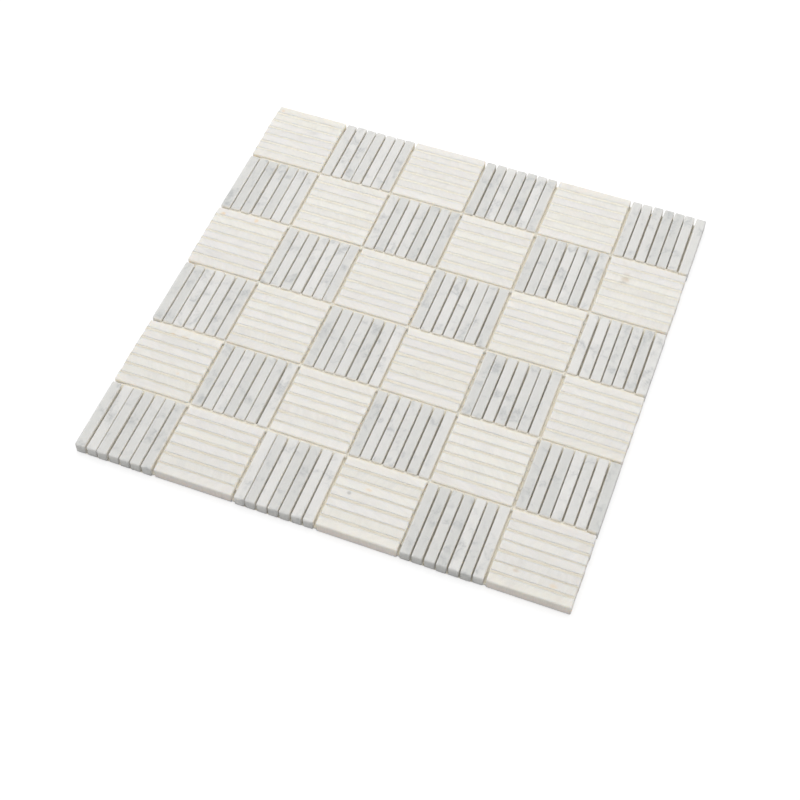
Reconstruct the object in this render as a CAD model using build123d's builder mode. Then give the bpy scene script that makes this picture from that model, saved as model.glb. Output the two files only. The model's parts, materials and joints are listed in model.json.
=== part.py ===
"""Marble mosaic sheet: a basket weave of honed stone sticks laid by hand on a backing mesh.

Seven parallel sticks and their gaps make one square module. Cream modules, with their sticks
along X, and grey modules, with their sticks along Y, alternate like a chessboard. Under them
lies an open mesh of flat yarns in two crossing layers, which the sticks are bonded to.

Millimetres, +Z up. The origin is the middle of the sheet, on the plane that it lies on.
"""

from build123d import *

import math
import os
import random

# Stone sticks.
STICK_WIDTH = 6.35
STICK_THICKNESS = 7.4
STICK_GAP = 0.8  # mean gap between neighbours in a module
CREAM_EASE = 0.55  # tumbling wears the top edges and the upright corners back by this much
GREY_EASE = 0.3  # the grey stone keeps crisper edges
STICKS_PER_MODULE = 7

# Sheet.
MODULE_JOINT = 1.55  # mean joint between modules
MODULES_PER_SIDE = 6

# Backing mesh.
YARN_WIDTH = 0.9
YARN_THICKNESS = 0.3
YARN_PITCH = 5.0
MESH_INSET = 2.0  # the mesh is cut this far inside the sheet's edge

# Hand laying: the most that a stick strays, as shares of the room that it has. Twice the sum of
# the first two stays under 1, so that neighbours never touch.
SIDE_STRAY = 0.34  # of the gap, sideways
SKEW_STRAY = 0.11  # of the gap, at the stick's ends, by turning
END_STRAY = 0.14  # of the joint, lengthways
LAYING_SEED = 20

# A stick is as long as its module is wide, so that turned modules still make a square grid.
module_side = STICKS_PER_MODULE * STICK_WIDTH + (STICKS_PER_MODULE - 1) * STICK_GAP
stick_length = module_side
stick_pitch = STICK_WIDTH + STICK_GAP
module_pitch = module_side + MODULE_JOINT
sheet_side = MODULES_PER_SIDE * module_pitch - MODULE_JOINT

yarn_length = sheet_side - 2 * MESH_INSET
yarns_per_side = int((yarn_length - YARN_WIDTH) // YARN_PITCH) + 1
mesh_top = 2 * YARN_THICKNESS

laying = random.Random(LAYING_SEED)


def middle_out(index, count, pitch):
    """Place of one of count copies, spaced evenly about the middle."""
    return (index - (count - 1) / 2) * pitch


def stick_places():
    """Where the sticks of one module lie: along their length, across it, and turned a little."""
    most_skew = math.degrees(math.atan2(SKEW_STRAY * STICK_GAP, stick_length / 2))
    places = []
    for index in range(STICKS_PER_MODULE):
        along = laying.uniform(-END_STRAY, END_STRAY) * MODULE_JOINT
        stray = laying.uniform(-SIDE_STRAY, SIDE_STRAY) * STICK_GAP
        across = middle_out(index, STICKS_PER_MODULE, stick_pitch) + stray
        skew = laying.uniform(-most_skew, most_skew)
        places.append(Location((along, across, 0), skew))
    return places


def worn_stick(ease):
    """One stick, lying along X with its underside at Z = 0 and its worn edges on top."""
    with BuildPart() as stick:
        with BuildSketch() as stick_plan:
            Rectangle(stick_length, STICK_WIDTH)
            chamfer(stick_plan.vertices(), length=ease)
        extrude(amount=STICK_THICKNESS)
        chamfer(stick.edges().group_by(Axis.Z)[-1], length=ease)
    return stick.part


cream_stick = worn_stick(CREAM_EASE)
grey_stick = worn_stick(GREY_EASE)


def lay_module(row, column):
    """One square of parallel sticks, bedded on the mesh."""
    is_cream = (row + column) % 2 == 0
    middle = (
        middle_out(column, MODULES_PER_SIDE, module_pitch),
        -middle_out(row, MODULES_PER_SIDE, module_pitch),
        mesh_top,
    )
    stick_direction = (1, 0, 0) if is_cream else (0, 1, 0)

    with BuildPart(Plane(middle, x_dir=stick_direction, z_dir=(0, 0, 1))) as module:
        with Locations(*stick_places()):
            add(cream_stick if is_cream else grey_stick)

    colour = "cream" if is_cream else "grey"
    module.part.label = f"{colour}_sticks_r{row + 1}_c{column + 1}"
    return module.part


os.makedirs("parts", exist_ok=True)

# The lower yarns lie on the ground and run along Y.
with BuildPart() as mesh_weft:
    with BuildSketch():
        with GridLocations(YARN_PITCH, yarn_length, yarns_per_side, 1):
            Rectangle(YARN_WIDTH, yarn_length)
    extrude(amount=YARN_THICKNESS)
mesh_weft.part.label = "mesh_weft"
export_step(mesh_weft.part, "parts/mesh_weft.step")

# The upper yarns cross them along X and carry the sticks.
with BuildPart() as mesh_warp:
    with BuildSketch(Plane.XY.offset(YARN_THICKNESS)):
        with GridLocations(yarn_length, YARN_PITCH, 1, yarns_per_side):
            Rectangle(yarn_length, YARN_WIDTH)
    extrude(amount=YARN_THICKNESS)
mesh_warp.part.label = "mesh_warp"
export_step(mesh_warp.part, "parts/mesh_warp.step")

# Row 1 is the far row, and column 1 is at the left.
for row in range(MODULES_PER_SIDE):
    for column in range(MODULES_PER_SIDE):
        sticks = lay_module(row, column)
        export_step(sticks, f"parts/{sticks.label}.step")
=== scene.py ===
"""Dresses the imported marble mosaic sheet: worn stone sticks, the glue between them and a woven mesh."""

import enum
import json
import logging
import math
import random
import re
from dataclasses import dataclass, field
from typing import Any, Mapping, Optional, Sequence, Union

import bmesh
import bpy
import numpy as np
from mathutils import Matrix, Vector


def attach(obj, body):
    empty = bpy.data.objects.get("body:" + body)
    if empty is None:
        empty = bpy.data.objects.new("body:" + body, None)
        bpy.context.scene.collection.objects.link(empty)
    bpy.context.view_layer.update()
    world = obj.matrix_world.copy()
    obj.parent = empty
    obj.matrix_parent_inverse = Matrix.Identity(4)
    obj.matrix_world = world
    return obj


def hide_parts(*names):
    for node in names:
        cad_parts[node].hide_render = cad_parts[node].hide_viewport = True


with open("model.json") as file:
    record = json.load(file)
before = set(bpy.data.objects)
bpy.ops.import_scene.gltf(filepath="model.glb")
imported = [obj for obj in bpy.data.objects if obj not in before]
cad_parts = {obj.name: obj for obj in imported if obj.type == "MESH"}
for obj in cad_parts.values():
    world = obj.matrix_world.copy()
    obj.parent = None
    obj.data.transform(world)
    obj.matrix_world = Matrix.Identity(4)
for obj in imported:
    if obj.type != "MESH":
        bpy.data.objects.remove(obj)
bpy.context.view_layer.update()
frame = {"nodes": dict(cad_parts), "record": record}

log = logging.getLogger("mosaic")

MM = 0.001
BODY = "root"
LOOKS_SEED = 7
MERGE_REACH = 0.001 * MM

Colour = tuple[float, float, float]
Value = Union["Tap", float, int, bool, Sequence[float], bpy.types.Material]


def srgb(red: int, green: int, blue: int) -> Colour:
    """Turn a colour as it shows on screen into the linear one that a shader takes.

    Args:
        red: Red, from 0 to 255.
        green: Green, from 0 to 255.
        blue: Blue, from 0 to 255.

    Returns:
        The three linear values, from 0 to 1.
    """

    def linear(level: float) -> float:
        """One channel's linear value."""
        return level / 12.92 if level <= 0.04045 else ((level + 0.055) / 1.055) ** 2.4

    return linear(red / 255), linear(green / 255), linear(blue / 255)


class Tap:
    """A node's output, with operators that add the maths nodes that they stand for."""

    def __init__(self, graph: "Graph", socket: bpy.types.NodeSocket) -> None:
        """Wrap one output socket of a graph."""
        self.graph = graph
        self.socket = socket

    def maths(self, operation: str, *others: Value) -> "Tap":
        """Add one Math node, of this and the values after it."""
        inputs = dict(enumerate((self, *others)))
        return self.graph.node("ShaderNodeMath", {"operation": operation}, inputs)

    def __add__(self, other: Value) -> "Tap":
        """This plus a value."""
        return self.maths("ADD", other)

    __radd__ = __add__

    def __mul__(self, other: Value) -> "Tap":
        """This times a value."""
        return self.maths("MULTIPLY", other)

    __rmul__ = __mul__

    def __sub__(self, other: Value) -> "Tap":
        """This less a value."""
        return self.maths("SUBTRACT", other)

    def __rsub__(self, other: Value) -> "Tap":
        """A value less this."""
        return (self * -1.0) + other

    def __truediv__(self, other: Value) -> "Tap":
        """This over a value."""
        return self.maths("DIVIDE", other)

    def __abs__(self) -> "Tap":
        """This without its sign."""
        return self.maths("ABSOLUTE")

    def swing(self, share: float) -> "Tap":
        """This, a noise about 0.5, as a share that swings about 0."""
        return share * (self - 0.5)

    def ramp(self, start: float, end: float) -> "Tap":
        """Rise smoothly from 0 to 1.

        Args:
            start: Where the rise starts.
            end: Where it ends; below start, the ramp falls.

        Returns:
            The ramp, from 0 to 1.
        """
        inputs = {"Value": self, "From Min": start, "From Max": end}
        if end < start:
            inputs.update({"From Min": end, "From Max": start, "To Min": 1.0, "To Max": 0.0})
        return self.graph.node("ShaderNodeMapRange", {"interpolation_type": "SMOOTHSTEP"}, inputs)

    def split(self) -> tuple["Tap", "Tap", "Tap"]:
        """The three parts of a vector."""
        node = self.graph.add("ShaderNodeSeparateXYZ", {}, {0: self})
        return tuple(Tap(self.graph, output) for output in node.outputs)


class Graph:
    """A node tree that is being built, of a material or of Geometry Nodes."""

    def __init__(self, tree: bpy.types.NodeTree) -> None:
        """Start from a tree."""
        self.tree = tree

    def add(
        self, kind: str, settings: Mapping[str, Any], inputs: Mapping[Union[str, int], Value]
    ) -> bpy.types.Node:
        """Add one node, with its settings made before its sockets.

        Args:
            kind: The node's type.
            settings: Its own settings.
            inputs: The values or links of its sockets, by name or by number.

        Returns:
            The node.
        """
        node = self.tree.nodes.new(kind)
        for name, value in settings.items():
            setattr(node, name, value)
        for key, value in inputs.items():
            if isinstance(value, Tap):
                self.tree.links.new(value.socket, node.inputs[key])
            else:
                node.inputs[key].default_value = value
        return node

    def node(
        self,
        kind: str,
        settings: Optional[Mapping[str, Any]] = None,
        inputs: Optional[Mapping[Union[str, int], Value]] = None,
        output: Union[str, int] = 0,
    ) -> Tap:
        """Add one node and take one of its outputs, by name or by number."""
        return Tap(self, self.add(kind, settings or {}, inputs or {}).outputs[output])

    def attribute(self, name: str, output: str = "Fac") -> Tap:
        """Read an attribute of the mesh, as a number or, from Vector, as three."""
        return self.node("ShaderNodeAttribute", {"attribute_name": name}, {}, output)

    def vector(self, operation: str, *values: Value) -> Tap:
        """Add one Vector Math node.

        Args:
            operation: The node's operation.
            values: Its vectors, or the number that SCALE takes second.

        Returns:
            The vector, or the number that LENGTH gives.
        """
        inputs = dict(enumerate(values))
        if operation == "SCALE":
            inputs = {0: values[0], "Scale": values[1]}
        output = "Value" if operation == "LENGTH" else "Vector"
        return self.node("ShaderNodeVectorMath", {"operation": operation}, inputs, output)

    def join(self, x: Value, y: Value, z: Value) -> Tap:
        """A vector of three numbers."""
        return self.node("ShaderNodeCombineXYZ", {}, {0: x, 1: y, 2: z})

    def noise(
        self, place: Tap, scale: float, detail: float = 2.0, roughness: float = 0.5, output: str = "Fac"
    ) -> Tap:
        """Noise about 0.5, with so many waves to one unit of place; Color gives three."""
        inputs = {"Vector": place, "Scale": scale, "Detail": detail, "Roughness": roughness}
        return self.node("ShaderNodeTexNoise", {}, inputs, output)

    def streaks(self, place: Tap, scales: tuple[float, float, float]) -> Tap:
        """Noise about 0.5 that is drawn out, with its own scale along X, Y and Z."""
        return self.noise(self.vector("MULTIPLY", place, scales), 1.0)

    def stir(self, place: Tap, scale: float) -> Tap:
        """Three plain noises about 0."""
        return self.vector("SUBTRACT", self.noise(place, scale, 1.0, output="Color"), (0.5, 0.5, 0.5))

    def blend(self, share: Value, first: Value, second: Value) -> Tap:
        """Mix two colours.

        Args:
            share: The second colour's share.
            first: One colour.
            second: The other.

        Returns:
            The mixed colour.
        """

        def paint(value: Value) -> Value:
            """A colour with its alpha, or a link."""
            return value if isinstance(value, Tap) else (*value, 1.0)

        inputs = {0: share, 6: paint(first), 7: paint(second)}
        return self.node("ShaderNodeMix", {"data_type": "RGBA"}, inputs, 2)

    def shade(self, colour: Value, level: Value) -> Tap:
        """A colour times a level of brightness."""
        return self.vector("SCALE", colour, level)


def new_material(name: str) -> tuple[bpy.types.Material, Graph]:
    """Make a material with an empty node tree.

    Args:
        name: The material's name.

    Returns:
        The material, and the graph that fills it.
    """
    material = bpy.data.materials.new(name)
    material.use_nodes = True
    material.node_tree.nodes.clear()
    return material, Graph(material.node_tree)


def finish_surface(graph: Graph, sockets: Mapping[str, Value]) -> None:
    """Close a material with one Principled shader."""
    surface = graph.node("ShaderNodeBsdfPrincipled", {}, sockets)
    graph.add("ShaderNodeOutputMaterial", {}, {"Surface": surface})


def sheet_place(graph: Graph) -> Tap:
    """Where a point is on the sheet, in millimetres."""
    coordinates = graph.node("ShaderNodeTexCoord", {}, {}, "Object")
    return graph.vector("SCALE", coordinates, 1.0 / MM)


def roughen(graph: Graph, height: Tap, strength: float, depth: float) -> Tap:
    """Bend a surface's normal by a height that is so many millimetres deep."""
    inputs = {"Strength": strength, "Distance": depth * MM, "Height": height}
    return graph.node("ShaderNodeBump", {}, inputs)


class StickRun(enum.Enum):
    """The way that a module's sticks lie, by the stone that lies that way."""

    ALONG_X = "cream"
    ALONG_Y = "grey"


class SeamKind(enum.Enum):
    """Where glue has come up between the stones."""

    CREAM_GAP = "between cream sticks"
    GREY_GAP = "between grey sticks"
    CROSS_JOINT = "between modules, along X"
    LONG_JOINT = "between modules, along Y"


@dataclass(frozen=True)
class SeamFill:
    """How glue fills one kind of seam.

    Args:
        height: How high it stands over the mesh, in millimetres.
        climb: How much higher it stands where it meets the stones, in millimetres.
        soil_and_painted_shade: How dark its middle is, from 0 to 1: partly dirt, partly painted shade in
            the groove.
    """

    height: float
    climb: float
    soil_and_painted_shade: float


@dataclass(frozen=True)
class Stain:
    """A mark in the stone, at a given place.

    Args:
        x: Its place on the sheet, to the right of the middle, in millimetres.
        y: Its place on the sheet, beyond the middle, in millimetres.
        along: Half its length along X, in millimetres.
        across: Half its width along Y, in millimetres.
        strength: How far it takes the stone's colour to its own.
        colour: Its colour.
    """

    x: float
    y: float
    along: float
    across: float
    strength: float
    colour: Colour


HONEY = srgb(238, 208, 164)
UMBER = srgb(200, 182, 156)
PIT_GREY = srgb(176, 174, 170)


@dataclass(frozen=True)
class StoneSpot:
    """What a marble reads at a point of a stick.

    Args:
        sheet: The place on the sheet, in millimetres.
        block: The place in the block that the stick was cut from, in millimetres.
        tone: How light the stick is, from 0 to 1.
        warmth: How warm the stick is, from 0 to 1.
        wall: 1 on the sawn sides and ends, 0 on the honed face.
    """

    sheet: Tap
    block: Tap
    tone: Tap
    warmth: Tap
    wall: Tap


@dataclass(frozen=True)
class Marble:
    """What both marbles share: a stick's own piece of the block, its cut sides, whose colours are partly
    painted light and shade, and its glow.

    Args:
        name: The material's name.
        side_dust_and_painted_light: The colour that stone dust gives to the sides between the sticks, made
            lighter as painted light where these walls lie in shade.
        side_glue_and_painted_light: The colour that glue gives to the sides along the joints, made lighter
            as painted light where these walls lie in shade.
        outer: The colour of the sides at the sheet's edge: partly the stone's tint, partly painted shade
            set to how dim these sides are.
        side_share: How far the sides take those colours.
        roughness: How dull the honed face is.
        glow: How much of the light goes through the stone.
        glow_tint: How far red, green and blue light go, as shares of glow_reach.
        glow_reach: How far light goes in the stone, in millimetres.
        top: The height of the honed face, in millimetres.
        half: Half the side of the sheet, in millimetres.
        pitch: The distance from one joint between modules to the next, in millimetres.
        block_spread: How far apart the sticks were cut from the block, in millimetres.
        block_tilt: The axis about which each stick was turned in the block.
        outer_band: Where the outer sides start and end, in from the sheet's edge, in millimetres.
        joint_band: Where the sides along a joint start and end, out from its middle, in millimetres.
        inner_tint_and_light_band: Where the tint and painted light on the inner sides start and are full,
            down from the honed face.
        outer_tint_and_shade_band: The same for the sides at the sheet's edge, where the painted shade
            grows further down.
    """

    name: str
    side_dust_and_painted_light: Colour
    side_glue_and_painted_light: Colour
    outer: Colour
    side_share: float
    roughness: float
    glow: float
    glow_tint: Colour
    glow_reach: float
    top: float = 8.0
    half: float = 152.0
    pitch: float = 50.8
    block_spread: float = 900.0
    block_tilt: tuple[float, float, float] = (0.25, 0.1, 1.0)
    outer_band: tuple[float, float] = (0.8, 1.6)
    joint_band: tuple[float, float] = (2.0, 1.3)
    inner_tint_and_light_band: tuple[float, float] = (0.02, 0.4)
    outer_tint_and_shade_band: tuple[float, float] = (0.3, 6.0)

    def read(self, graph: Graph) -> StoneSpot:
        """Read where a point is, and in which stick.

        Args:
            graph: The material's graph.

        Returns:
            The readings.
        """
        sheet = sheet_place(graph)
        cast = graph.attribute("cast", "Vector")
        seed, tone, warmth = cast.split()
        offset = graph.vector("SCALE", cast, self.block_spread)
        turned = graph.node(
            "ShaderNodeVectorRotate",
            {"rotation_type": "AXIS_ANGLE"},
            {"Vector": sheet, "Axis": self.block_tilt, "Angle": seed * math.tau},
        )
        block = graph.vector("ADD", turned, offset)
        return StoneSpot(sheet, block, tone, warmth, graph.attribute("wall"))

    def face(self, graph: Graph, spot: StoneSpot, grain: Tap) -> Tap:
        """The colour of the honed face, which each marble gives."""
        raise NotImplementedError

    def _by_joint(self, way: Tap) -> Tap:
        """1 beside a joint that crosses one axis, and 0 further from it."""
        turns = way / self.pitch
        return (abs(turns - turns.maths("ROUND")) * self.pitch).ramp(*self.joint_band)

    def tint_sides_and_paint_light(self, graph: Graph, spot: StoneSpot, colour: Tap) -> Tap:
        """Tint the cut sides and mark them with the saw's upright lines. Inside the gaps and joints the
        tints are partly dust and glue and partly painted light that lifts the walls' shade; at the sheet's
        edge they are partly painted shade, more of it further down.

        Args:
            graph: The material's graph.
            spot: The readings at a point.
            colour: The stone's own colour.

        Returns:
            The colour with its sawn sides.
        """
        x, y, z = spot.sheet.split()
        inside = abs(x).maths("MAXIMUM", abs(y)).ramp(*(self.half - part for part in self.outer_band))
        joint = self._by_joint(x).maths("MAXIMUM", self._by_joint(y))
        # Painted light: the walls inside the gaps and joints take lighter colours that lift their shade,
        # partly as dust and glue.
        stain = graph.blend(inside, self.outer, graph.blend(joint, self.side_dust_and_painted_light, self.side_glue_and_painted_light))
        below = inside * z.ramp(*(self.top - part for part in self.inner_tint_and_light_band))
        # Painted shade: down the sides at the sheet's edge, the colour fades to one set to how dim those
        # sides are.
        below = below + (1.0 - inside) * z.ramp(*(self.top - part for part in self.outer_tint_and_shade_band))
        cloud = graph.noise(spot.sheet, 0.35, 2.0).ramp(0.2, 0.55)
        stained_with_painted_light_and_shade = graph.blend(spot.wall * below * cloud * self.side_share, colour, stain)
        lines = graph.streaks(spot.sheet, (3.2, 3.2, 0.12))
        return graph.shade(stained_with_painted_light_and_shade, 1.0 + spot.wall * lines.swing(0.22))

    def material(self) -> bpy.types.Material:
        """Build the marble.

        Returns:
            The material.
        """
        material, graph = new_material(self.name)
        spot = self.read(graph)
        grain = graph.noise(spot.block, 1.8, 3.0, 0.6)
        finish_surface(
            graph,
            {
                "Base Color": self.tint_sides_and_paint_light(graph, spot, self.face(graph, spot, grain)),
                "Roughness": self.roughness + grain.swing(0.2) + 0.2 * spot.wall,
                "Subsurface Weight": self.glow,
                "Subsurface Radius": self.glow_tint,
                "Subsurface Scale": self.glow_reach * MM,
                "Normal": roughen(graph, grain, 0.25, 0.05),
            },
        )
        return material


@dataclass(frozen=True)
class CreamMarble(Marble):
    """Warm white marble with faint bands, soft clouds and a few honey marks."""

    name: str = "cream_marble"
    # Partly dust and glue, partly painted light that lifts the shaded walls in the gaps and joints.
    side_dust_and_painted_light: Colour = srgb(248, 238, 218)
    side_glue_and_painted_light: Colour = srgb(242, 236, 224)
    # Partly the stone's tint, partly painted shade on the sides at the sheet's edge.
    outer: Colour = srgb(238, 226, 216)
    side_share: float = 0.8
    roughness: float = 0.5
    glow: float = 1.0
    glow_tint: Colour = (1.0, 0.9, 0.75)
    glow_reach: float = 2.4
    white: Colour = srgb(232, 229, 225)
    ivory: Colour = srgb(233, 230, 222)
    cloud: Colour = srgb(224, 221, 216)
    stains: tuple[Stain, ...] = (
        Stain(115.6, 85.4, 3.4, 5.0, 0.55, UMBER),
        Stain(115.0, 81.0, 3.4, 1.4, 0.4, PIT_GREY),
        Stain(-146.5, 45.3, 2.0, 1.6, 0.65, HONEY),
        Stain(-123.7, 47.0, 1.8, 1.8, 0.55, HONEY),
        Stain(-133.4, -57.6, 2.6, 1.1, 0.75, HONEY),
        Stain(-125.4, -57.2, 3.4, 1.2, 0.5, HONEY),
        Stain(-114.0, -62.8, 1.0, 0.8, 0.5, PIT_GREY),
        Stain(11.3, -125.9, 1.8, 1.4, 0.6, PIT_GREY),
        Stain(21.2, -120.0, 2.4, 1.2, 0.4, HONEY),
        Stain(82.9, -72.5, 3.0, 1.3, 0.4, HONEY),
        Stain(-148.0, 147.5, 1.8, 1.5, 0.35, HONEY),
        Stain(-111.7, 145.3, 2.4, 1.8, 0.35, HONEY),
        Stain(-120.4, 134.7, 4.0, 2.4, 0.25, PIT_GREY),
        Stain(116.2, -139.7, 2.2, 1.5, 0.4, UMBER),
        Stain(138.2, -141.9, 3.0, 1.8, 0.35, HONEY),
    )

    def face(self, graph: Graph, spot: StoneSpot, grain: Tap) -> Tap:
        """The colour of the honed face.

        Args:
            graph: The material's graph.
            spot: The readings at a point.
            grain: The stone's fine grain, about 0.5.

        Returns:
            The colour.
        """
        colour = graph.blend(spot.warmth, self.white, self.ivory)
        clouds = graph.noise(spot.block, 0.07, 4.0, 0.55).ramp(0.48, 0.75)
        colour = graph.blend(clouds * 0.6, colour, self.cloud)
        bands = graph.streaks(spot.block, (0.03, 0.45, 0.3))
        colour = graph.shade(colour, 0.975 + 0.055 * spot.tone + bands.swing(0.14) + grain.swing(0.14))
        flecks = graph.noise(spot.block, 0.16, 3.0, 0.6).ramp(0.7, 0.82)
        colour = graph.blend(flecks * 0.4, colour, HONEY)
        ragged = graph.noise(spot.sheet, 0.5, 3.0).swing(0.9)
        for stain in self.stains:
            off = graph.vector("SUBTRACT", spot.sheet, (stain.x, stain.y, 0.0))
            flat = graph.vector("MULTIPLY", off, (1.0 / stain.along, 1.0 / stain.across, 0.0))
            reach = graph.vector("LENGTH", flat) + ragged
            colour = graph.blend(reach.ramp(1.2, 0.2) * stain.strength, colour, stain.colour)
        return colour


@dataclass(frozen=True)
class GreyMarble(Marble):
    """Light grey marble with clouds and slanting darker veins."""

    name: str = "grey_marble"
    # Partly dust and glue, partly painted light that lifts the shaded walls in the gaps and joints.
    side_dust_and_painted_light: Colour = srgb(236, 232, 224)
    side_glue_and_painted_light: Colour = srgb(243, 237, 226)
    # Partly the stone's tint, partly painted shade on the sides at the sheet's edge, darker than the face.
    outer: Colour = srgb(207, 206, 203)
    side_share: float = 0.85
    roughness: float = 0.45
    glow: float = 0.8
    glow_tint: Colour = (1.0, 0.97, 0.92)
    glow_reach: float = 4.0
    pale: Colour = srgb(226, 225, 222)
    dark: Colour = srgb(212, 212, 209)
    vein: Colour = srgb(170, 173, 174)

    def face(self, graph: Graph, spot: StoneSpot, grain: Tap) -> Tap:
        """The colour of the honed face.

        Args:
            graph: The material's graph.
            spot: The readings at a point.
            grain: The stone's fine grain, about 0.5.

        Returns:
            The colour.
        """
        colour = graph.blend(spot.tone, self.dark, self.pale)
        clouds = graph.noise(spot.block, 0.09, 5.0, 0.6)
        colour = graph.shade(colour, 1.0 + clouds.swing(0.14))
        bend = graph.vector("SCALE", graph.noise(spot.block, 0.06, 3.0, output="Color"), 14.0)
        ridge = abs(graph.noise(graph.vector("ADD", spot.block, bend), 0.045, 4.0, 0.6) - 0.5)
        halo = ridge.ramp(0.1, 0.0) * clouds.ramp(0.42, 0.68)
        line = ridge.ramp(0.016, 0.0) * clouds.ramp(0.42, 0.62)
        colour = graph.blend(halo * 0.5, colour, self.vein)
        colour = graph.blend(line * 0.35, colour, self.vein)
        hatch = graph.streaks(spot.block, (0.2, 1.3, 0.8))
        return graph.shade(colour, 1.0 + grain.swing(0.06) + hatch.swing(0.07))


@dataclass(frozen=True)
class Glue:
    """Set glue with stone dust in it.

    Args:
        name: The material's name.
        pale: Its colour where it is clean.
        dusty: Its colour where dust has settled.
        soil_and_shade_colour: Its colour in the dark middle of a seam: partly dirt, partly painted shade.
        film: Its colour where it thins out over the stone.
        roughness: How dull it is.
        glow: How much of the light goes through it.
        glow_tint: How far red, green and blue light go, as shares of glow_reach.
        glow_reach: How far light goes in it, in millimetres.
    """

    name: str
    pale: Colour
    dusty: Colour
    soil_and_shade_colour: Colour = srgb(204, 193, 170)
    film: Colour = srgb(242, 237, 225)
    roughness: float = 0.55
    glow: float = 0.4
    glow_tint: Colour = (1.0, 0.9, 0.75)
    glow_reach: float = 1.5

    def material(self) -> bpy.types.Material:
        """Build the glue.

        Returns:
            The material.
        """
        material, graph = new_material(self.name)
        sheet = sheet_place(graph)
        dust = graph.noise(sheet, 0.22, 4.0, 0.6)
        grit = graph.noise(sheet, 2.4, 2.0)
        colour = graph.blend(dust.ramp(0.35, 0.7), self.pale, self.dusty)
        # Painted shade: the seam's middle is darkened, partly as dirt and partly as the shade in the
        # groove.
        colour = graph.blend(graph.attribute("soil_and_painted_shade"), colour, self.soil_and_shade_colour)
        colour = graph.blend(graph.attribute("flank").ramp(0.1, 0.7) * 0.8, colour, self.film)
        finish_surface(
            graph,
            {
                "Base Color": graph.shade(colour, 1.0 + grit.swing(0.12)),
                "Roughness": self.roughness + grit.swing(0.3),
                "Subsurface Weight": self.glow,
                "Subsurface Radius": self.glow_tint,
                "Subsurface Scale": self.glow_reach * MM,
                "Normal": roughen(graph, grit, 0.4, 0.08),
            },
        )
        return material


@dataclass(frozen=True)
class GlassYarn:
    """White glass yarn, with fine fibres that run round it at a slant.

    Args:
        name: The material's name.
        white: The colour of the fibres.
        shade: The colour between them.
    """

    name: str = "mesh_yarn"
    white: Colour = srgb(232, 231, 226)
    shade: Colour = srgb(186, 184, 176)

    def material(self) -> bpy.types.Material:
        """Build the yarn.

        Returns:
            The material.
        """
        material, graph = new_material(self.name)
        fibre = graph.attribute("fibre", "Vector")
        along, turn, side = fibre.split()
        lay = graph.join(along * 0.35, turn * 3.0 + along * 0.25, side * 3.0)
        strands = graph.noise(lay, 2.2, 3.0, 0.6)
        finish_surface(
            graph,
            {
                "Base Color": graph.blend(strands.ramp(0.3, 0.6), self.shade, self.white),
                "Roughness": 0.4 + strands.swing(0.3),
                "Normal": roughen(graph, strands, 0.6, 0.06),
            },
        )
        return material


def add_object(name: str, data: bpy.types.ID) -> bpy.types.Object:
    """Put a new object in the scene.

    Args:
        name: Its name.
        data: Its mesh, lamp or camera.

    Returns:
        The object.
    """
    made = bpy.data.objects.new(name, data)
    bpy.context.scene.collection.objects.link(made)
    return made


def heading(turn: float) -> Vector:
    """The way that something lies that is turned from +X by so many radians."""
    return Vector((math.cos(turn), math.sin(turn), 0.0))


def point_mesh(name: str, points: Sequence[Vector], marks: Mapping[str, Sequence[Any]]) -> bpy.types.Mesh:
    """Make a mesh of loose points that carry values of their own.

    Args:
        name: The mesh's name.
        points: The points, in metres.
        marks: The values, by attribute, a number or a vector for each point.

    Returns:
        The mesh.
    """
    mesh = bpy.data.meshes.new(name)
    mesh.from_pydata(points, [], [])
    for label, values in marks.items():
        table = np.array(values)
        kind, part = ("FLOAT_VECTOR", "vector") if table.ndim == 2 else ("FLOAT", "value")
        layer = mesh.attributes.new(label, kind, "POINT")
        layer.data.foreach_set(part, table.astype(np.float32).ravel())
    return mesh


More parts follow.
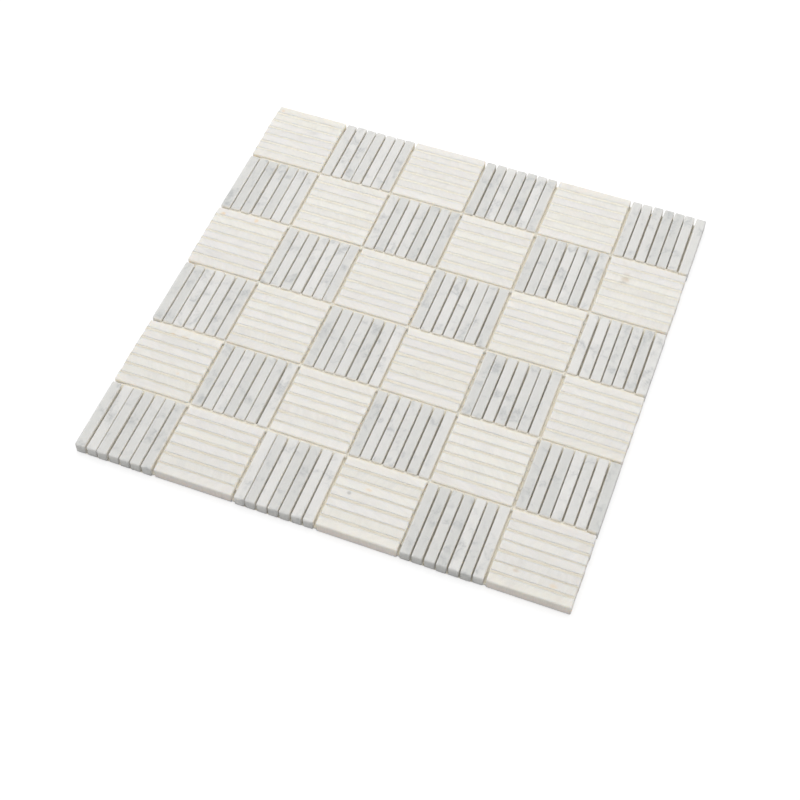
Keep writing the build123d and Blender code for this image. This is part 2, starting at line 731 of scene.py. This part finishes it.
class PieceTree:
    """A Geometry Nodes tree that turns a mesh of points into one plain piece.

    Every tree takes the points, the sizes that it names and a finish. Each kind of piece gives its
    own shape.
    """

    NAME = "piece"
    SIZES: tuple[str, ...] = ()

    def __init__(self) -> None:
        """Build the tree."""
        self.tree = bpy.data.node_groups.new(self.NAME, "GeometryNodeTree")
        self.graph = Graph(self.tree)
        face = self.tree.interface
        face.new_socket("Places", in_out="INPUT", socket_type="NodeSocketGeometry")
        kinds = {size: "NodeSocketFloat" for size in self.SIZES}
        kinds["Finish"] = "NodeSocketMaterial"
        self.sockets = {
            name: face.new_socket(name, in_out="INPUT", socket_type=kind).identifier
            for name, kind in kinds.items()
        }
        face.new_socket("Piece", in_out="OUTPUT", socket_type="NodeSocketGeometry")
        entry = self.graph.add("NodeGroupInput", {}, {})
        self.given = {output.name: Tap(self.graph, output) for output in entry.outputs if output.name}
        dressed = self.graph.node(
            "GeometryNodeSetMaterial", {}, {"Geometry": self.shape(), "Material": self.given["Finish"]}
        )
        self.graph.add("NodeGroupOutput", {}, {0: dressed})

    def shape(self) -> Tap:
        """The piece, with its copies made real, which each kind gives."""
        raise NotImplementedError

    def mark(self, name: str, kind: str = "FLOAT") -> Tap:
        """Read an attribute by its name."""
        return self.graph.node("GeometryNodeInputNamedAttribute", {"data_type": kind}, {"Name": name})

    def store(self, mesh: Tap, name: str, value: Tap, kind: str = "FLOAT") -> Tap:
        """Keep a value on a mesh's points.

        Args:
            mesh: The mesh.
            name: The attribute's name.
            value: The value.
            kind: FLOAT or FLOAT_VECTOR.

        Returns:
            The mesh with the attribute.
        """
        settings = {"data_type": kind, "domain": "POINT"}
        inputs = {"Geometry": mesh, "Name": name, "Value": value}
        return self.graph.node("GeometryNodeStoreNamedAttribute", settings, inputs)

    def place(self) -> Tap:
        """Read a point's place."""
        return self.graph.node("GeometryNodeInputPosition")

    def place_mm(self) -> Tap:
        """Read a point's place, in millimetres."""
        return self.graph.vector("SCALE", self.place(), 1.0 / MM)

    def put(self, mesh: Tap, place: Tap) -> Tap:
        """Put a mesh's points at new places."""
        return self.graph.node("GeometryNodeSetPosition", {}, {"Geometry": mesh, "Position": place})

    def shift(self, mesh: Tap, offset: Value) -> Tap:
        """Move a mesh's points by an offset."""
        return self.graph.node("GeometryNodeSetPosition", {}, {"Geometry": mesh, "Offset": offset})

    def smooth(self, mesh: Tap, which: Value = True) -> Tap:
        """Shade a mesh's faces smoothly, all of them or those of a selection."""
        return self.graph.node("GeometryNodeSetShadeSmooth", {}, {"Geometry": mesh, "Selection": which})

    def lay(self, unit: Tap, size: Value = (1.0, 1.0, 1.0)) -> Tap:
        """Lay a copy of one shape at each place, turned as the place says, and make it real.

        Args:
            unit: The shape.
            size: How much larger each copy is, along X, Y and Z.

        Returns:
            The copies.
        """
        turn = self.graph.join(0.0, 0.0, self.mark("turn"))
        facing = self.graph.node("FunctionNodeEulerToRotation", {}, {0: turn})
        inputs = {"Points": self.given["Places"], "Instance": unit, "Rotation": facing, "Scale": size}
        laid = self.graph.node("GeometryNodeInstanceOnPoints", {}, inputs)
        return self.graph.node("GeometryNodeRealizeInstances", {}, {"Geometry": laid})

    def make(
        self, name: str, places: bpy.types.Mesh, sizes: Mapping[str, float], finish: bpy.types.Material
    ) -> bpy.types.Object:
        """Run the tree once and keep its result as a plain mesh that rides on the sheet.

        Args:
            name: The piece's name.
            places: The points that the tree starts from.
            sizes: The tree's sizes, by name.
            finish: The piece's material.

        Returns:
            The piece, with no modifier left.
        """
        carrier = add_object(f"{name}.carrier", places)
        modifier = carrier.modifiers.new("tree", "NODES")
        modifier.node_group = self.tree
        for label, value in {**sizes, "Finish": finish}.items():
            modifier[self.sockets[label]] = value
        bpy.context.view_layer.update()
        graph = bpy.context.evaluated_depsgraph_get()
        mesh = bpy.data.meshes.new_from_object(carrier.evaluated_get(graph), depsgraph=graph)
        bpy.data.objects.remove(carrier)
        mesh.name = name
        piece = add_object(name, mesh)
        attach(piece, BODY)
        log.info("%s: %d places, %d faces", name, len(places.vertices), len(mesh.polygons))
        return piece


class StickTree(PieceTree):
    """Rounds one bar, lays a copy at each place, and wears each copy in its own way."""

    NAME = "worn_sticks"
    SIZES = ("Length", "Width", "Thickness", "Radius", "Wander", "Chip", "Lip")
    LONG_FACES = 8
    CROSS_FACES = 1
    SIDE_FACES = 1
    ROUND_FACES = 2
    SPREAD = 700.0  # between the sticks' own noises, in millimetres
    FOOT = (0.6 * MM, 4.0 * MM)  # heights between which a stick's uneven thickness sets in

    def _spread(self, even: Tap, room: Tap, share: float) -> Tap:
        """Space the rows of faces, close together where they go round an edge.

        Args:
            even: A row's even place, from 0 in the middle to 1 at the edge.
            room: The distance from the middle to where the rounding starts.
            share: The share of the rows that go round the edge.

        Returns:
            The row's distance from the middle.
        """
        flat = 1.0 - share
        bend = ((even - flat) / share).maths("MAXIMUM", 0.0) * (math.pi / 4)
        return even.maths("MINIMUM", flat) / flat * room + self.given["Radius"] * bend.maths("TANGENT")

    def _bar(self) -> Tap:
        """One rounded bar along X that lies on Z = 0.

        Returns:
            The bar, with how close a point is to an edge as the attribute edge, and how far it is on
            a side or an end as the attribute wall.
        """
        graph, given, radius = self.graph, self.given, self.given["Radius"]
        rows = (
            self.LONG_FACES + 2 * self.ROUND_FACES,
            self.CROSS_FACES + 2 * self.ROUND_FACES,
            self.SIDE_FACES + self.ROUND_FACES,
        )
        inputs = {f"Vertices {axis}": count + 1 for axis, count in zip("XYZ", rows)}
        cube = graph.node("GeometryNodeMeshCube", {}, {"Size": (2.0, 2.0, 2.0), **inputs})
        x, y, z = self.place().split()
        long_room = given["Length"] / 2.0 - radius
        cross_room = given["Width"] / 2.0 - radius
        side_room = given["Thickness"] - radius
        long_way = self._spread(abs(x), long_room, 2 * self.ROUND_FACES / rows[0])
        cross_way = self._spread(abs(y), cross_room, 2 * self.ROUND_FACES / rows[1])
        up = self._spread((z + 1.0) / 2.0, side_room, self.ROUND_FACES / rows[2])
        core = graph.join(
            long_way.maths("MINIMUM", long_room) * x.maths("SIGN"),
            cross_way.maths("MINIMUM", cross_room) * y.maths("SIGN"),
            up.maths("MINIMUM", side_room),
        )
        corner = graph.join(long_way * x.maths("SIGN"), cross_way * y.maths("SIGN"), up)
        out = graph.vector("SUBTRACT", corner, core)
        reach = graph.vector("LENGTH", out).maths("MAXIMUM", 1e-9)
        round_off = graph.vector("SCALE", out, (radius / reach).maths("MINIMUM", 1.0))
        ahead, aside, above = (abs(part) / reach for part in out.split())
        most = ahead.maths("MAXIMUM", aside).maths("MAXIMUM", above)
        bar = self.store(cube, "edge", most.maths("GREATER_THAN", 0.1) * (1.0 - most))
        bar = self.store(bar, "wall", ahead.maths("MAXIMUM", aside))
        return self.put(bar, graph.vector("ADD", core, round_off))

    def _wear(self, sticks: Tap) -> Tap:
        """Give each laid stick its own uneven faces, chipped edges and thickness.

        Args:
            sticks: The laid sticks.

        Returns:
            The worn sticks.
        """
        graph, given = self.graph, self.given
        cast, edge = self.mark("cast", "FLOAT_VECTOR"), self.mark("edge")
        own = graph.vector("ADD", self.place_mm(), graph.vector("SCALE", cast, self.SPREAD))
        sway = graph.stir(own, 0.07)
        rise = self.place().split()[2].ramp(*self.FOOT)
        drift = graph.vector("SCALE", sway, given["Wander"] * 2.0)
        drift = graph.vector("MULTIPLY", drift, (1.0, 1.0, 0.0))
        low = cast.split()[0] * given["Lip"] + abs(sway.split()[2]) * given["Wander"]
        lift = graph.join(0.0, 0.0, low * rise * -1.0)
        bite = graph.noise(own, 0.3, 2.0).ramp(0.52, 0.78) * edge.ramp(0.05, 0.3) * given["Chip"]
        chip = graph.vector("SCALE", graph.node("GeometryNodeInputNormal"), bite * -1.0)
        return self.shift(sticks, graph.vector("ADD", graph.vector("ADD", drift, lift), chip))

    def shape(self) -> Tap:
        """The worn sticks, smooth only round their edges."""
        worn = self._wear(self.lay(self._bar()))
        return self.smooth(worn, self.mark("edge").maths("GREATER_THAN", 0.01))


class SeamTree(PieceTree):
    """Fills seams between the stones with glue that is wavy, climbs their walls and heaps at the ends."""

    NAME = "glue_seams"
    SIZES = ("Wave",)
    ROWS = 12
    HEAP = (0.72, 0.98)  # where a heap starts and is full, as a share of half the seam

    def shape(self) -> Tap:
        """Add the nodes that make the seams.

        Returns:
            The seams.
        """
        graph, given = self.graph, self.given
        inputs = {"Size": (1.0, 1.0, 1.0), "Vertices X": self.ROWS + 1, "Vertices Y": 3, "Vertices Z": 2}
        bar = graph.node("GeometryNodeMeshCube", {}, inputs)
        even, across, up = self.place().split()
        bar = self.store(bar, "along", (even * math.pi).maths("SINE"))
        bar = self.store(bar, "flank", abs(across) * 2.0)
        bar = self.store(bar, "crown", up + 0.5)
        along = self.mark("along")
        bar = self.put(bar, graph.join(along * 0.5, across, up + 0.5))
        seams = self.lay(bar, self.mark("size", "FLOAT_VECTOR"))
        flank = self.mark("flank")
        # The middle of each seam is marked darker: partly dirt, partly painted shade in the groove.
        seams = self.store(seams, "soil_and_painted_shade", self.mark("soil_and_painted_shade") * (1.0 - flank))
        swell = graph.noise(self.place_mm(), 0.12).swing(2.0)
        first, last, _ = self.mark("heaps", "FLOAT_VECTOR").split()
        heap = (along * -1.0).ramp(*self.HEAP) * first + along.ramp(*self.HEAP) * last
        level = swell * given["Wave"] + flank * self.mark("climb") + heap
        return self.smooth(self.shift(seams, graph.join(0.0, 0.0, self.mark("crown") * level)))


class DropTree(PieceTree):
    """Sets a lump of glue at each place."""

    NAME = "glue_drops"
    SIZES = ("Lump",)
    SEGMENTS = 8
    RINGS = 5

    def shape(self) -> Tap:
        """Add the nodes that make the lumps.

        Returns:
            The lumps.
        """
        graph = self.graph
        inputs = {"Segments": self.SEGMENTS, "Rings": self.RINGS, "Radius": 1.0}
        ball = graph.node("GeometryNodeMeshUVSphere", {}, inputs)
        size = self.mark("size", "FLOAT_VECTOR")
        drops = self.lay(ball, size)
        rough = graph.vector("MULTIPLY", graph.stir(self.place_mm(), 0.5), size)
        offset = graph.vector("SCALE", rough, self.given["Lump"])
        return self.smooth(self.shift(drops, offset))


class YarnTree(PieceTree):
    """Draws a flat yarn at each place, over and under the yarns that cross it."""

    NAME = "woven_yarns"
    SIZES = ("Length", "Width", "Thickness", "Pitch", "First", "Bends")
    SIDES = 6

    def shape(self) -> Tap:
        """Add the nodes that make the yarns.

        Returns:
            The yarns, with the way of their fibres as the attribute fibre.
        """
        graph, given = self.graph, self.given
        inputs = {"Vertices": self.SIDES, "Side Segments": given["Bends"], "Radius": 0.5, "Depth": 1.0}
        rod = graph.node("GeometryNodeMeshCylinder", {}, inputs)
        x, y, z = self.place().split()
        rod = self.store(rod, "fibre", graph.join(z * given["Length"] / MM, x, y), "FLOAT_VECTOR")
        flat = self.put(rod, graph.join(z * given["Length"], x * given["Width"], y * given["Thickness"]))
        yarns = self.lay(flat)
        along = self.mark("fibre", "FLOAT_VECTOR").split()[0] * MM
        wave = ((along - given["First"]) / given["Pitch"] * math.pi).maths("COSINE")
        rise = wave * self.mark("side") * given["Thickness"] * 0.5
        return self.smooth(self.shift(yarns, graph.join(0.0, 0.0, rise)))


def islands(mesh: bpy.types.Mesh) -> list[np.ndarray]:
    """Find the separate solids of a mesh of loose triangles.

    Args:
        mesh: The mesh, which isn't changed.

    Returns:
        Each solid's points.
    """
    merged = bmesh.new()
    merged.from_mesh(mesh)
    bmesh.ops.remove_doubles(merged, verts=merged.verts, dist=MERGE_REACH)
    left, found = set(merged.verts), []
    while left:
        reached, to_search = [], [left.pop()]
        while to_search:
            vertex = to_search.pop()
            reached.append(vertex)
            for edge in vertex.link_edges:
                other = edge.other_vert(vertex)
                if other in left:
                    left.remove(other)
                    to_search.append(other)
        found.append(np.array([vertex.co for vertex in reached]))
    merged.free()
    return found


@dataclass(frozen=True)
class StickWear:
    """How tumbling and sawing have worn a stick, in millimetres.

    Args:
        radius: The rounding of the top edges and upright corners.
        wander: How far the faces stray from flat.
        chip: How deep the edges are chipped.
        lip: How much the sticks differ in thickness.
    """

    radius: float
    wander: float = 0.04
    chip: float = 0.3
    lip: float = 0.12


@dataclass(frozen=True)
class StickPlace:
    """Where one stick lies, in metres.

    Args:
        middle: The middle of its underside.
        turn: Its turn from +X, in radians.
        length: Its length.
        width: Its width.
        thickness: Its thickness.
    """

    middle: Vector
    turn: float
    length: float
    width: float
    thickness: float


@dataclass
class StickModule:
    """One square of seven parallel sticks.

    Args:
        node: The solid node that it dresses.
        run: The way that its sticks lie.
        places: Where they lie, in the order that they lie across the module.
    """

    node: str
    run: StickRun
    places: list[StickPlace] = field(default_factory=list)

    def __post_init__(self) -> None:
        """Read each stick's place and sizes from the node's solids."""
        for points in islands(frame["nodes"][self.node].data):
            flat = points[:, :2] - points[:, :2].mean(axis=0)
            way = np.linalg.eigh(flat.T @ flat)[1][:, 1]
            way = way * np.sign(way[self.axis])
            along, across = flat @ way, flat @ np.array((-way[1], way[0]))
            middle = Vector((*points[:, :2].mean(axis=0), points[:, 2].min()))
            sizes = (float(np.ptp(part)) for part in (along, across, points[:, 2]))
            self.places.append(StickPlace(middle, math.atan2(way[1], way[0]), *sizes))
        self.places.sort(key=lambda place: place.middle[1 - self.axis])

    @property
    def axis(self) -> int:
        """0 where the sticks lie along X, and 1 where they lie along Y."""
        return 0 if self.run is StickRun.ALONG_X else 1

    @property
    def grid(self) -> tuple[int, int]:
        """The module's row and column, counted from the far left."""
        row, column = re.findall(r"_[rc](\d+)", self.node)
        return int(row), int(column)

    @property
    def middle(self) -> Vector:
        """The middle of the module's underside."""
        return sum((place.middle for place in self.places), Vector()) / len(self.places)

    def build(
        self, tree: StickTree, wear: StickWear, stone: bpy.types.Material, slot: str, draw: random.Random
    ) -> None:
        """Lay the worn sticks.

        Args:
            tree: The tree that makes them.
            wear: How they are worn.
            stone: Their material.
            slot: The record's name for it; not used.
            draw: Where each stick's own look is drawn from.
        """
        marks = {
            "turn": [place.turn for place in self.places],
            "cast": [tuple(draw.random() for _ in range(3)) for _ in self.places],
        }
        points = point_mesh(f"{self.node}.places", [place.middle for place in self.places], marks)
        size = self.places[0]
        sizes = {
            "Length": size.length - 2 * wear.wander * MM,
            "Width": size.width - 2 * wear.wander * MM,
            "Thickness": size.thickness,
            "Radius": wear.radius * MM,
            "Wander": wear.wander * MM,
            "Chip": wear.chip * MM,
            "Lip": wear.lip * MM,
        }
        piece = tree.make(f"worn_{self.node}", points, sizes, stone)
        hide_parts(self.node)


@dataclass
class BackingMesh:
    """The woven mesh that the sticks are bonded to.

    Args:
        warp: The node of the yarns along X.
        weft: The node of the yarns along Y.
        bends_per_crossing: How finely a yarn bends between two crossings.
    """

    warp: str = "mesh_warp"
    weft: str = "mesh_weft"
    bends_per_crossing: int = 2

    def build(self, tree: YarnTree, finish: bpy.types.Material, slot: str) -> None:
        """Weave both layers.

        Args:
            tree: The tree that makes the yarns.
            finish: Their material.
            slot: The record's name for it; not used.
        """
        layers = {}
        for axis, node in enumerate((self.warp, self.weft)):
            yarns = islands(frame["nodes"][node].data)
            boxes = [(points.min(axis=0), points.max(axis=0)) for points in yarns]
            layers[axis] = sorted(boxes, key=lambda box: box[0][1 - axis])
        level = layers[0][0][0][2]
        for axis, node in enumerate((self.warp, self.weft)):
            low, high = (np.array(ends) for ends in zip(*layers[axis]))
            middles = (low + high) / 2
            crossings = np.array([(box[0][axis] + box[1][axis]) / 2 for box in layers[1 - axis]])
            signs = [(-1.0) ** (index + axis) for index in range(len(middles))]
            marks = {"turn": [axis * math.pi / 2] * len(middles), "side": signs}
            points = [Vector((middle[0], middle[1], level)) for middle in middles]
            size = high[0] - low[0]
            sizes = {
                "Length": float(size[axis]),
                "Width": float(size[1 - axis]),
                "Thickness": float(size[2]),
                "Pitch": float(crossings[1] - crossings[0]),
                "First": float(crossings[0] - middles[0][axis]),
                "Bends": float(self.bends_per_crossing * len(crossings)),
            }
            piece = tree.make(f"woven_{node}", point_mesh(f"{node}.places", points, marks), sizes, finish)
            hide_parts(node)


@dataclass(frozen=True)
class Seam:
    """A run of glue between stones, in metres.

    Args:
        middle: The middle of its underside.
        turn: Its turn from +X, in radians.
        size: Its length, width and height.
        climb: How much higher it stands where it meets the stones.
        soil_and_painted_shade: How dark its middle is, from 0 to 1: partly dirt, partly painted shade in
            the groove.
        heaps: How much higher it stands at its start and at its end, and a 0.
    """

    middle: Vector
    turn: float
    size: tuple[float, float, float]
    climb: float
    soil_and_painted_shade: float
    heaps: tuple[float, float, float]


@dataclass
class GlueWork:
    """The glue that bonds the sticks to the mesh and has come up between them.

    Sizes are in millimetres.

    Args:
        modules: The modules, by row and column.
        draw: Where the uneven sizes are drawn from.
        fills: How the glue fills each kind of seam.
        fuller: How much higher it stands between the cream sticks of the far row than of the near one.
        far_row_painted_light: How much less dark it is there, as painted light.
        tuck: How far it goes under the rounded edges beside it.
        short: How far short of the sheet's edge it stops, in gaps between cream and grey sticks.
        near_heap: The least and most that it heaps at the near end of a gap between grey sticks.
        far_heap: The least and most at the far end.
        thin: How high it still stands at the sheet's edge, in a gap between grey sticks.
        joint_short: How far short of the sheet's edge it stops, in a joint.
        joint_fall: How far it falls there.
        bead: Half the length, width and height of a bead in a joint.
        bead_height: How high the beads sit over the mesh.
        first_bead_row: The first row that has beads. Further off, the joints are smooth.
        dab: Half the length, width and height of a dab under a stick.
        dab_level: How high the dabs sit over the ground.
        dab_inset: How far inside a stick's ends its first and last dab sit.
        dabs_per_stick: How many dabs hold a stick.
        dab_stray: How far a dab strays lengthways, as a share of the distance to the next.
        wave: How far the glue in a seam rises and falls.
        bead_lump: How lumpy a bead is, as a share of its size.
        dab_lump: How lumpy a dab is.
        uneven: The least and most that a lump's size is, as shares of the stated one.
    """

    modules: Mapping[tuple[int, int], StickModule]
    draw: random.Random
    fills: Mapping[SeamKind, SeamFill] = field(
        default_factory=lambda: {
            SeamKind.CREAM_GAP: SeamFill(6.85, 0.35, 0.45),
            SeamKind.GREY_GAP: SeamFill(2.0, 0.1, 0.3),
            SeamKind.CROSS_JOINT: SeamFill(5.8, 0.3, 0.0),
            SeamKind.LONG_JOINT: SeamFill(4.3, 0.3, 0.0),
        }
    )
    fuller: float = 0.28
    far_row_painted_light: float = 0.45
    tuck: float = 0.8
    short: tuple[float, float] = (0.1, 0.2)
    near_heap: tuple[float, float] = (0.0, 2.5)
    far_heap: tuple[float, float] = (4.2, 5.1)
    thin: float = 0.2
    joint_short: float = 0.9
    joint_fall: float = 2.6
    bead: tuple[float, float, float] = (0.95, 1.3, 0.35)
    bead_height: float = 4.5
    first_bead_row: int = 3
    dab: tuple[float, float, float] = (2.4, 1.7, 0.28)
    dab_level: float = 0.42
    dab_inset: float = 6.6
    dabs_per_stick: int = 6
    dab_stray: float = 0.25
    wave: float = 0.15
    bead_lump: float = 0.5
    dab_lump: float = 0.4
    uneven: tuple[float, float] = (0.75, 1.15)

    def gaps(self, module: StickModule) -> list[Seam]:
        """The seams between one module's sticks.

        Args:
            module: The module.

        Returns:
            One seam for each gap.
        """
        row, column = module.grid
        cream = module.run is StickRun.ALONG_X
        fill = self.fills[SeamKind.CREAM_GAP if cream else SeamKind.GREY_GAP]
        height, climb, soil_and_painted_shade = fill.height, fill.climb, fill.soil_and_painted_shade
        if cream:
            last = max(self.modules)[0]
            far = (last - row) / (last - 1)
            height, climb = height + far * self.fuller, climb - far * self.fuller
            # Painted light: the glue between cream sticks grows lighter towards the far row.
            soil_and_painted_shade = soil_and_painted_shade - far * self.far_row_painted_light
        steps = ((0, -1), (0, 1)) if cream else ((1, 0), (-1, 0))
        inner = [(row + down, column + right) in self.modules for down, right in steps]
        found = []
        for one, two in zip(module.places, module.places[1:]):
            gap = (two.middle - one.middle)[1 - module.axis] - one.width
            turn = (one.turn + two.turn) / 2
            start, end = (0.0 if joined else self.short[module.axis] * MM for joined in inner)
            middle = (one.middle + two.middle) / 2 + heading(turn) * ((start - end) / 2)
            size = (one.length - start - end, gap + 2 * self.tuck * MM, height * MM)
            heaps = [0.0, 0.0]
            if not cream:
                drawn = (self.draw.uniform(*most) for most in (self.near_heap, self.far_heap))
                heaps = [heap if joined else self.thin - height for heap, joined in zip(drawn, inner)]
            found.append(Seam(middle, turn, size, climb * MM, soil_and_painted_shade, (heaps[0] * MM, heaps[1] * MM, 0.0)))
        return found

    def joints(self) -> list[Seam]:
        """The seams between neighbouring modules.

        Returns:
            One seam for each pair of neighbours.
        """
        found = []
        for (row, column), module in self.modules.items():
            for step, kind in (((1, 0), SeamKind.CROSS_JOINT), ((0, 1), SeamKind.LONG_JOINT)):
                other = self.modules.get((row + step[0], column + step[1]))
                if other is None:
                    continue
                length = module.places[0].length
                joint = (other.middle - module.middle).length - length
                beyond = ((row - side * step[1], column + side * step[0]) for side in (-1, 1))
                inner = [spot in self.modules for spot in beyond]
                ends = [length / 2 + (joint / 2 if joined else -self.joint_short * MM) for joined in inner]
                falls = [0.0 if joined else -self.joint_fall * MM for joined in inner]
                turn = 0.0 if kind is SeamKind.CROSS_JOINT else math.pi / 2
                middle = (module.middle + other.middle) / 2 + heading(turn) * ((ends[1] - ends[0]) / 2)
                fill = self.fills[kind]
                size = (sum(ends), joint + 2 * self.tuck * MM, fill.height * MM)
                found.append(Seam(middle, turn, size, fill.climb * MM, fill.soil_and_painted_shade, (*falls, 0.0)))
        return found

    def beads(self) -> list[Vector]:
        """The places where a cream gap meets the joint at its module's right.

        Returns:
            The middles of the beads of glue there.
        """
        found = []
        for (row, column), module in self.modules.items():
            if module.run is not StickRun.ALONG_X or row < self.first_bead_row:
                continue
            other = self.modules.get((row, column + 1))
            if other is None:
                continue
            x = (module.middle.x + other.middle.x) / 2
            for one, two in zip(module.places, module.places[1:]):
                between = (one.middle + two.middle) / 2
                found.append(Vector((x, between.y, between.z + self.bead_height * MM)))
        return found

    def dabs(self) -> list[tuple[Vector, float]]:
        """The dabs of glue under the sticks.

        Returns:
            Each dab's middle and turn.
        """
        found = []
        for module in self.modules.values():
            for place in module.places:
                room = place.length - 2 * self.dab_inset * MM
                for index in range(self.dabs_per_stick):
                    stray = self.draw.uniform(-self.dab_stray, self.dab_stray)
                    share = (index + stray) / (self.dabs_per_stick - 1) - 0.5
                    spot = place.middle + heading(place.turn) * (share * room)
                    found.append((Vector((spot.x, spot.y, self.dab_level * MM)), place.turn))
        return found

    def _uneven(self, size: tuple[float, float, float]) -> tuple[float, float, float]:
        """A size that differs a little from lump to lump, in metres."""
        return tuple(part * MM * self.draw.uniform(*self.uneven) for part in size)

    def build(
        self,
        seam_tree: SeamTree,
        drop_tree: DropTree,
        seam_glue: bpy.types.Material,
        drop_glue: bpy.types.Material,
    ) -> None:
        """Lay the seams, the beads and the dabs.

        Args:
            seam_tree: The tree that makes seams.
            drop_tree: The tree that makes lumps.
            seam_glue: The glue of the seams.
            drop_glue: The glue of the lumps.
        """
        seams = [seam for module in self.modules.values() for seam in self.gaps(module)] + self.joints()
        names = ("turn", "size", "climb", "soil_and_painted_shade", "heaps")
        marks = {name: [getattr(seam, name) for seam in seams] for name in names}
        points = point_mesh("seams.places", [seam.middle for seam in seams], marks)
        seam_tree.make("glue_seams", points, {"Wave": self.wave * MM}, seam_glue)
        beads = self.beads()
        marks = {"turn": [0.0] * len(beads), "size": [self._uneven(self.bead) for _ in beads]}
        points = point_mesh("beads.places", beads, marks)
        drop_tree.make("glue_beads", points, {"Lump": self.bead_lump}, drop_glue)
        dabs = self.dabs()
        marks = {"turn": [turn for _, turn in dabs], "size": [self._uneven(self.dab) for _ in dabs]}
        points = point_mesh("dabs.places", [middle for middle, _ in dabs], marks)
        drop_tree.make("glue_dabs", points, {"Lump": self.dab_lump}, drop_glue)


@dataclass
class Studio:
    """Plain floor, soft light and the photograph's viewpoint.

    Args:
        azimuth: The camera's turn to the right of the front, in degrees.
        elevation: Its height over the horizon, in degrees.
        distance: Its distance from what it looks at, in metres.
        target: What it looks at, in metres.
        lens: Its focal length, in millimetres.
        sensor: The width of its sensor, in millimetres.
        nearest: The nearest that it sees, in metres.
        floor_size: The side of the floor, in metres.
        floor_drop: How far the floor is below the sheet, in metres.
        floor_grey: How much light the floor gives back.
        floor_glow: How much it shines where it is seen, which makes it white.
        sky: The strength of the light from all round.
        key_power: The power of the large lamp, in watts.
        key_place: Where the lamp hangs, in metres.
        key_size: The lamp's side, in metres.
    """

    azimuth: float = 20.765
    elevation: float = 54.495
    distance: float = 0.8757
    target: tuple[float, float, float] = (0.01527, -0.05452, 0.008)
    lens: float = 65.97
    sensor: float = 36.0
    nearest: float = 0.01
    floor_size: float = 8.0
    floor_drop: float = 0.02 * MM
    floor_grey: float = 0.48
    floor_glow: float = 0.62
    sky: float = 0.745
    key_power: float = 4.8
    key_place: tuple[float, float, float] = (-0.1, 0.42, 1.0)
    key_size: float = 1.2

    @staticmethod
    def _hang(name: str, data: bpy.types.ID, place: Vector, view: Vector) -> bpy.types.Object:
        """Put a camera or a lamp in the scene.

        Args:
            name: Its name.
            data: Its lens or its light.
            place: Where it hangs, in metres.
            view: The way that it points.

        Returns:
            The object.
        """
        hung = add_object(name, data)
        hung.location = place
        hung.rotation_mode = "QUATERNION"
        hung.rotation_quaternion = view.to_track_quat("-Z", "Y")
        return hung

    def build_camera(self) -> None:
        """Stand the camera where the photograph was taken from."""
        turn, rise = math.radians(self.azimuth), math.radians(self.elevation)
        flat = math.cos(rise)
        back = Vector((math.sin(turn) * flat, -math.cos(turn) * flat, math.sin(rise)))
        data = bpy.data.cameras.new("camera")
        data.lens = self.lens
        data.sensor_width = self.sensor
        data.clip_start = self.nearest
        camera = self._hang("camera", data, Vector(self.target) + back * self.distance, -back)
        bpy.context.scene.camera = camera

    def _seen(self, graph: Graph) -> Tap:
        """1 where a ray comes from the camera, a mirror or a glass, and else 0."""
        path = graph.add("ShaderNodeLightPath", {}, {})
        names = ("Is Camera Ray", "Is Glossy Ray", "Is Transmission Ray")
        camera, mirror, glass = (Tap(graph, path.outputs[name]) for name in names)
        return camera.maths("MAXIMUM", mirror).maths("MAXIMUM", glass)

    def build_floor(self) -> None:
        """Lay a white floor that keeps the sheet's shadow."""
        half = self.floor_size / 2
        mesh = bpy.data.meshes.new("floor")
        corners = [(-half, -half, 0), (half, -half, 0), (half, half, 0), (-half, half, 0)]
        mesh.from_pydata(corners, [], [(0, 1, 2, 3)])
        floor = add_object("floor", mesh)
        floor.location.z = -self.floor_drop
        material, graph = new_material("floor_paper")
        paper = graph.node("ShaderNodeBsdfDiffuse", {}, {"Color": (*[self.floor_grey] * 3, 1.0)})
        glow = graph.node("ShaderNodeEmission", {}, {"Strength": self.floor_glow * self._seen(graph)})
        both = graph.node("ShaderNodeAddShader", {}, {0: paper, 1: glow})
        graph.add("ShaderNodeOutputMaterial", {}, {"Surface": both})
        mesh.materials.append(material)

    def build_light(self) -> None:
        """Light the sheet softly from all round, and by a large lamp over its far edge."""
        world = bpy.data.worlds.new("sky")
        bpy.context.scene.world = world
        world.use_nodes = True
        world.node_tree.nodes.clear()
        graph = Graph(world.node_tree)
        strength = self.sky + (1.0 - self.sky) * self._seen(graph)
        sky = graph.node("ShaderNodeBackground", {}, {"Color": (1.0, 1.0, 1.0, 1.0), "Strength": strength})
        graph.add("ShaderNodeOutputWorld", {}, {"Surface": sky})
        data = bpy.data.lights.new("key", "AREA")
        data.size = self.key_size
        data.energy = self.key_power
        place = Vector(self.key_place)
        self._hang("key", data, place, -place)
        bpy.context.scene.view_settings.view_transform = "Standard"

    def build(self) -> None:
        """Set up the camera, the floor and the light."""
        self.build_camera()
        self.build_floor()
        self.build_light()


def main() -> None:
    """Build every piece of the sheet and the studio round it."""
    logging.basicConfig(level=logging.INFO, format="%(message)s")
    draw = random.Random(LOOKS_SEED)
    slots = {part["node"]: part["material_slot"] for part in frame["record"]["subparts"]}
    stones = {StickRun.ALONG_X: CreamMarble().material(), StickRun.ALONG_Y: GreyMarble().material()}
    wears = {StickRun.ALONG_X: StickWear(radius=0.9), StickRun.ALONG_Y: StickWear(radius=0.85)}
    stick_tree = StickTree()
    modules = {}
    for node in sorted(frame["nodes"]):
        for run in StickRun:
            if node.startswith(run.value):
                module = StickModule(node, run)
                module.build(stick_tree, wears[run], stones[run], slots[node], draw)
                modules[module.grid] = module

    backing = BackingMesh()
    backing.build(YarnTree(), GlassYarn().material(), slots[backing.warp])
    seam_glue = Glue("seam_glue", srgb(244, 238, 223), srgb(234, 227, 210))
    drop_glue = Glue("drop_glue", srgb(240, 235, 226), srgb(228, 220, 206))
    GlueWork(modules, draw).build(SeamTree(), DropTree(), seam_glue.material(), drop_glue.material())

    Studio().build()


if __name__ == "__main__":
    main()
